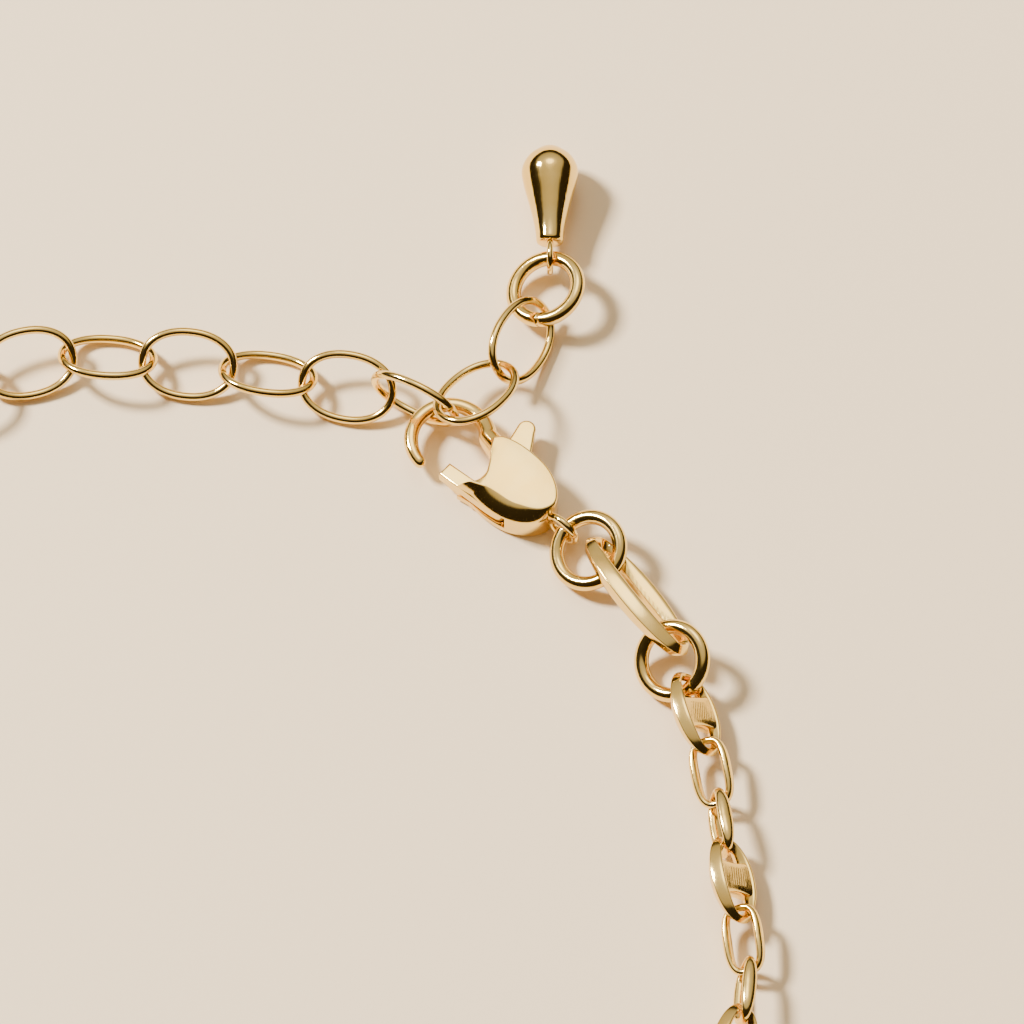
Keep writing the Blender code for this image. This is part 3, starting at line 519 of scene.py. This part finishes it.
def hookMesh():
    c = clasp
    rings, steps, sides = [], 110, 24
    root = [Vector((*spot, 0)) for spot in c["hookRoot"]]
    bend = [Vector((*spot, 0)) for spot in arc(c["hookRadius"], c["hookFrom"], c["hookTo"], 60)]
    line = [Vector(spot) for spot in smoothRun(root + bend, 6)]
    walked = [0.0]
    for first, second in zip(line, line[1:]):
        walked.append(walked[-1] + (second - first).length)

    def path(share):
        want = share * walked[-1]
        n = max(1, next((i for i, w in enumerate(walked) if w >= want), len(walked) - 1))
        part = (want - walked[n - 1]) / max(walked[n] - walked[n - 1], 1e-9)
        low, high = max(0, n - 4), min(len(line) - 1, n + 4)
        return line[n - 1].lerp(line[n], part), (line[high] - line[low]).normalized()

    for k in range(steps + 1):
        share = k / steps
        at, ahead = path(share)
        out = Vector((ahead.y, -ahead.x, 0))
        settled = min(1.0, share / c["rootShare"])
        rooted = max(0.0, 1 - share / c["swellShare"]) ** c["swellFade"]
        tall = c["rootTall"] + (c["hookTall"] - c["rootTall"]) * settled * settled * (3 - 2 * settled)
        slim = 1 - c["tipSlim"] * max(0.0, share - c["slimFrom"]) / (1 - c["slimFrom"])
        flat = 1 - c["tipSlim"] * max(0.0, share - c["flatFrom"]) / (1 - c["flatFrom"])
        tip = max(0.0, (share - c["tipFrom"]) / (1 - c["tipFrom"]))
        tip = math.sqrt(max(c["tipEnd"], 1 - tip * tip))
        wide = (c["hookWide"] / 2 * slim + c["rootSwell"] * rooted) * tip
        tall = tall / 2 * flat * tip
        middle = at + Vector((0, 0, c["thickness"] / 2))
        ring = []
        for n in range(sides):
            a = 2 * math.pi * n / sides
            sideways = math.copysign(abs(math.cos(a)) ** c["hookCorner"], math.cos(a))
            upwards = math.copysign(abs(math.sin(a)) ** c["hookCorner"], math.sin(a))
            ring.append(middle + out * (wide * sideways) + Vector((0, 0, tall * upwards)))
        rings.append(ring)
    return loftMesh("hook", rings)


# Where a point of the lever lies when it is fully open
def openedSpot(x, y):
    c = clasp
    turn = -math.radians(c["openAngle"])
    dx, dy = x - c["pin"][0], y - c["pin"][1]
    cosTurn, sinTurn = math.cos(turn), math.sin(turn)
    return (c["pin"][0] + dx * cosTurn - dy * sinTurn, c["pin"][1] + dx * sinTurn + dy * cosTurn)


def slotOutline():
    c, gap = clasp, clasp["gap"]
    past = c["cutPast"]
    high, below = c["armAcross"] + c["armWide"] / 2, c["armAcross"] - c["armWide"] / 2 - past
    front, crook = openedSpot(c["armReach"], high), openedSpot(c["pin"][0] - c["crook"], high + c["crookRise"])
    tab = openedSpot(c["tab"][0] + c["tabRadius"], c["tab"][1])
    back = c["pin"][0] + c["boss"] + gap
    left = c["tab"][0] - c["tabRadius"] - gap
    return [(front[0] - gap, below), (front[0] - gap, front[1] + gap), (crook[0] - 2 * gap, crook[1] + gap),
            (left, c["tab"][1]), (left, c["tab"][1] + past), (tab[0] + 2 * gap, c["tab"][1] + past),
            (back, c["pin"][1] + c["boss"]), (back, below)]


def roundPlate(name, radius, low, high, sides=48):
    return plateMesh(name, arc(radius, 0, 360 - 360 / sides, sides - 1, clasp["pin"]), low, high)


def claspShell():
    c = clasp
    top = c["thickness"]
    low, first, last = c["armAcross"] - c["armWide"] / 2 + c["lipInset"], c["lipStart"], c["start"] + c["lipRoot"]
    lip = [(first, low + c["lipSlant"]), (last, low), (last, low + c["lipWide"]), (first, low + c["lipWide"])]
    lip = plateMesh("lip", lip, 0.0, c["plate"] - c["lipThin"], c["lipInset"])
    slot = plateMesh("slot", slotOutline(), c["plate"], top - c["plate"])
    bore = roundPlate("bore", c["pinRadius"] + c["gap"], c["pinCover"], top - c["pinCover"])
    eye = ringMesh("eye", c["eyeRadius"], c["eyeWire"], Vector((c["eyeAt"], 0, top / 2)))
    return combined(shellMesh(), [("UNION", hookMesh()), ("DIFFERENCE", slot), ("DIFFERENCE", bore),
                                  ("UNION", lip), ("UNION", eye)])


def claspLever():
    c = clasp
    low, high = c["armAcross"] - c["armWide"] / 2, c["armAcross"] + c["armWide"] / 2
    points = [(c["armReach"], low), (c["armReach"], high), (c["pin"][0] - c["crook"], high + c["crookRise"])]
    points += arc(c["tabRadius"], 195, 15, 18, c["tab"])
    points += arc(c["boss"], 25, -20, 8, c["pin"])
    length = c["end"] - c["start"]
    side = [(c["start"] + share * length, -wide * c["halfWidth"]) for share, wide in c["armSide"]]
    points += smoothRun(side, 4)
    thick = (c["plate"] + c["gap"], c["thickness"] - c["plate"] - c["gap"])
    lever = plateMesh("lever", points, *thick, c["leverEdge"], 4)
    return combined(lever, [("DIFFERENCE", roundPlate("hole", c["pinRadius"] + c["gap"], 0, c["thickness"]))])


settle("claspShell", claspShell(), claspPlace, gold["clasp"], "bracelet", "gold_clasp", "clasp_body")
settle("claspLever", claspLever(), claspPlace, gold["lever"], "lever", "gold_lever", "clasp_lever")
nodes["clasp_pin"].material_slots[0].material = gold["pin"]
print("clasp made")


# End drop, its round end at the origin and its eye towards +X
drop = {
    "length": 5.6, "radius": 1.5, "eyeRadius": 0.79, "eyeWire": 0.34, "tail": (0.0, 1.0, 0.03),
    "shape": ((0.0, 0.0), (0.012, 0.25), (0.05, 0.50), (0.13, 0.82), (0.25, 1.00), (0.40, 0.93), (0.60, 0.74),
              (0.82, 0.55), (0.97, 0.485)),   # shares of the length and the radius
    "rim": ((0.99, 0.46), (1.0, 0.40), (1.0, 0.2)), "sides": 72,
}


def dropMesh():
    d = drop
    shape = smoothRun(d["shape"], 8)[1:] + list(d["rim"])
    around = [2 * math.pi * n / d["sides"] for n in range(d["sides"])]
    rings = [[Vector((share * d["length"], wide * d["radius"] * math.cos(a), wide * d["radius"] * math.sin(a)))
              for a in around] for share, wide in shape]
    eye = ringMesh("dropEye", d["eyeRadius"], d["eyeWire"],
                   Vector((d["length"] + d["eyeRadius"], 0, 0)))
    return combined(loftMesh("dropBody", rings), [("UNION", eye)])


tail = Vector(drop["tail"]).normalized()
tip = max((Vector(p) for p in corners("teardrop")), key=lambda p: p.dot(tail))
along = -tail
side = Vector((-along.y, along.x, 0)).normalized()
dropTurn = Matrix((along, side, along.cross(side))).transposed().to_4x4()
dropPlace = Matrix.Translation(tip) @ dropTurn
settle("endDrop", dropMesh(), dropPlace, gold["drop"], "bracelet", "gold_drop", "teardrop")
print("drop made")


# Pale paper that the bracelet lies on
paper = {
    "colour": (0.94, 0.765, 0.53, 1.0), "shade": (0.925, 0.75, 0.515, 1.0), "half": 1.5,   # half its width in m
    "grain": 0.5, "grainDepth": 0.012,                                                      # mm
    "below": 2e-5,                                                                          # m under the links
}


def paperFinish():
    material = bpy.data.materials.new("paleCard")
    material.use_nodes = True
    tree = material.node_tree
    shader = tree.nodes["Principled BSDF"]
    start = Wire(tree)
    place = start.make("ShaderNodeTexCoord").out("Object")
    grain = start.make("ShaderNodeTexNoise", {}, {
        "Vector": place, "Scale": 1 / (paper["grain"] * mm), "Detail": 6.0})
    cloud = start.make("ShaderNodeTexNoise", {}, {"Vector": place, "Scale": 30.0, "Detail": 2.0})
    share = 0.5 * grain + 0.5 * cloud
    colour = start.make("ShaderNodeMix", {"data_type": "RGBA"}, {
        "Factor": share, 6: paper["colour"], 7: paper["shade"]}, 2)
    bump = start.make("ShaderNodeBump", {}, {
        "Height": grain * paper["grainDepth"], "Strength": 1.0, "Distance": mm})
    tree.links.new(colour.socket, shader.inputs["Base Color"])
    tree.links.new(bump.socket, shader.inputs["Normal"])
    shader.inputs["Roughness"].default_value = 0.75
    shader.inputs["Specular IOR Level"].default_value = 0.2
    return material


half, below = paper["half"], paper["below"]
card = bpy.data.meshes.new("card")
card.from_pydata([(x, y, -below) for x, y in ((-half, -half), (half, -half), (half, half), (-half, half))],
                 [], [(0, 1, 2, 3)])
card.materials.append(paperFinish())
floor = bpy.data.objects.new("floor", card)
bpy.context.collection.objects.link(floor)


# Camera and lights look at the same point of the floor
shot = {"aim": (15.14, 15.37, 0.0), "elevation": 65.0, "distance": 1.2, "width": 53.9}   # mm, but distance in m
aim = Vector(shot["aim"]) * mm

# Studio light: a soft key from the upper left, and a room that is bright overhead for the gold to mirror
key = {"from": (-0.87, 0.40, 0.96), "distance": 0.8, "size": 0.15, "power": 18.0, "colour": (1.0, 0.95, 0.88)}
data = bpy.data.lights.new("keyLight", "AREA")
data.shape = "SQUARE"
data.size = key["size"]
data.energy = key["power"]
data.color = key["colour"]
lamp = bpy.data.objects.new("keyLight", data)
away = Vector(key["from"]).normalized()
lamp.location = aim + away * key["distance"]
lamp.rotation_euler = away.to_track_quat("Z", "Y").to_euler()
bpy.context.collection.objects.link(lamp)

room = {
    "towards": (0.0, 0.42, 0.91), "strength": 1.0,
    "stops": ((0.0, (0.03, 0.022, 0.014, 1.0)), (0.58, (0.035, 0.026, 0.016, 1.0)),
              (0.68, (0.62, 0.53, 0.40, 1.0)),
              (0.90, (0.88, 0.77, 0.60, 1.0)), (0.965, (1.5, 1.32, 1.05, 1.0)), (0.985, (4.0, 3.6, 2.9, 1.0)),
              (1.0, (4.5, 4.05, 3.3, 1.0))),
}
world = bpy.data.worlds.new("studio")
world.use_nodes = True
bpy.context.scene.world = world
start = Wire(world.node_tree)
looking = start.make("ShaderNodeTexCoord").out("Generated")
facing = start.make("ShaderNodeVectorMath", {"operation": "DOT_PRODUCT"}, {
    0: looking, 1: tuple(Vector(room["towards"]).normalized())}, "Value")
sky = start.make("ShaderNodeValToRGB", {"stops": room["stops"]}, {"Fac": facing})
background = world.node_tree.nodes["Background"]
world.node_tree.links.new(sky.socket, background.inputs["Color"])
background.inputs["Strength"].default_value = room["strength"]

# Camera, looking towards +Y and down
cameraData = bpy.data.cameras.new("camera")
cameraData.sensor_width = 36.0
cameraData.lens = 36.0 * shot["distance"] / (shot["width"] * mm)
cameraData.clip_start = 0.01
cameraData.clip_end = 20.0
camera = bpy.data.objects.new("camera", cameraData)
lift = math.radians(shot["elevation"])
away = Vector((0, -math.cos(lift), math.sin(lift)))
camera.location = aim + away * shot["distance"]
camera.rotation_euler = away.to_track_quat("Z", "Y").to_euler()
bpy.context.collection.objects.link(camera)
bpy.context.scene.camera = camera
print("studio made")
